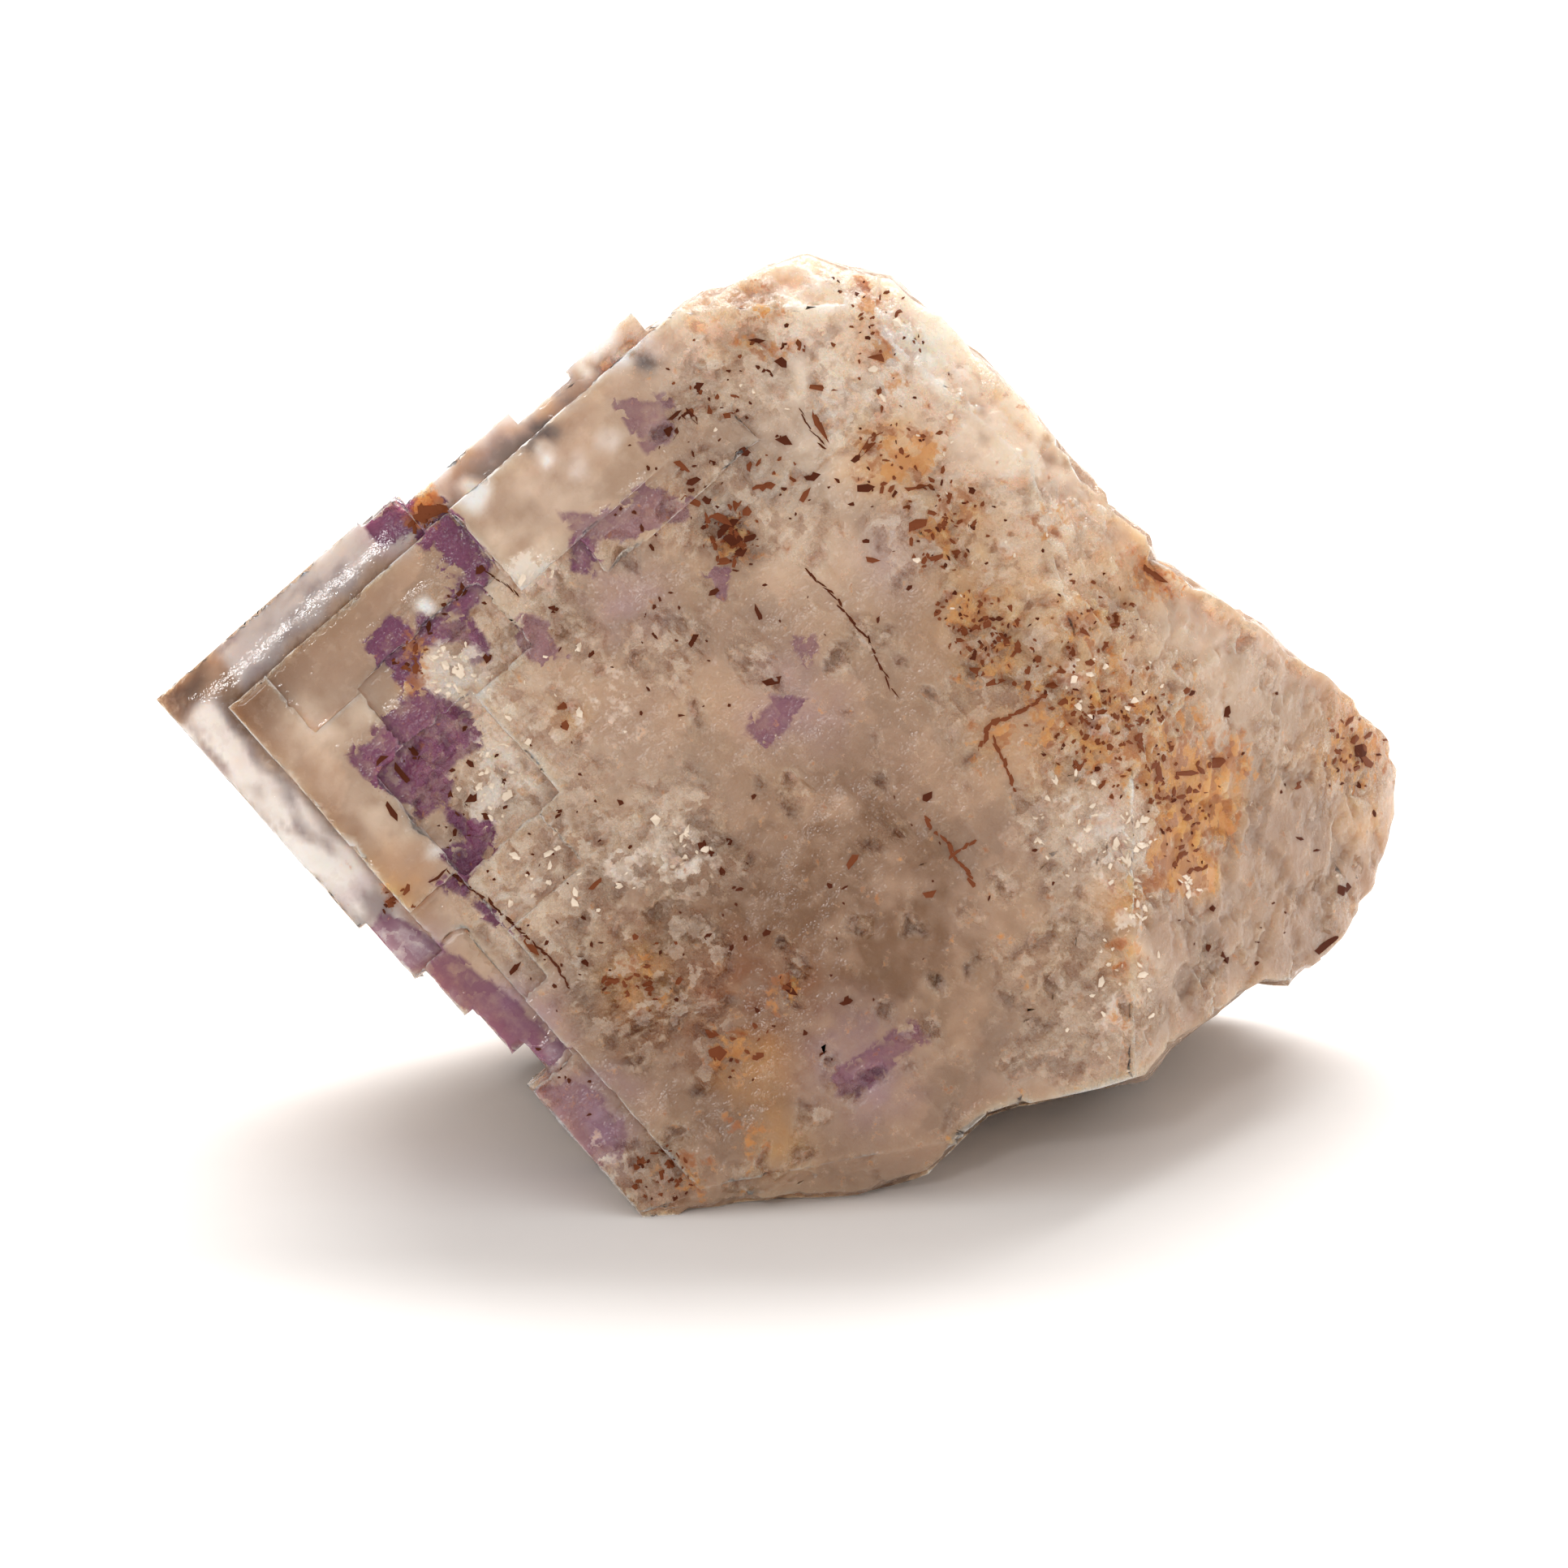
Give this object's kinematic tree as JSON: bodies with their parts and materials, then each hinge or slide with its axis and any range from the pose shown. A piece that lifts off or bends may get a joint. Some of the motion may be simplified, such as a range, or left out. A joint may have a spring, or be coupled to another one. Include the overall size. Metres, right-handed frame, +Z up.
{
  "type": "fluorite crystal",
  "caption": "Broken cubic fluorite crystal with stepped growth ledges, milky grey-beige with purple zones and rust stains, resting upright on a flat break.",
  "frame": {"origin": "on the surface it rests on, under the centre of the box around the crystal", "axes": "+X to the right as seen from the cube face, +Y to the back, +Z up"},
  "size_m": [0.0498, 0.0306, 0.0356],
  "materials": {
    "fluorite": "natural crystal: glossy cube faces, dull etched and broken faces"
  },
  "bodies": {
    "root": {"fluorite_crystal": "fluorite"}
  },
  "joints": []
}
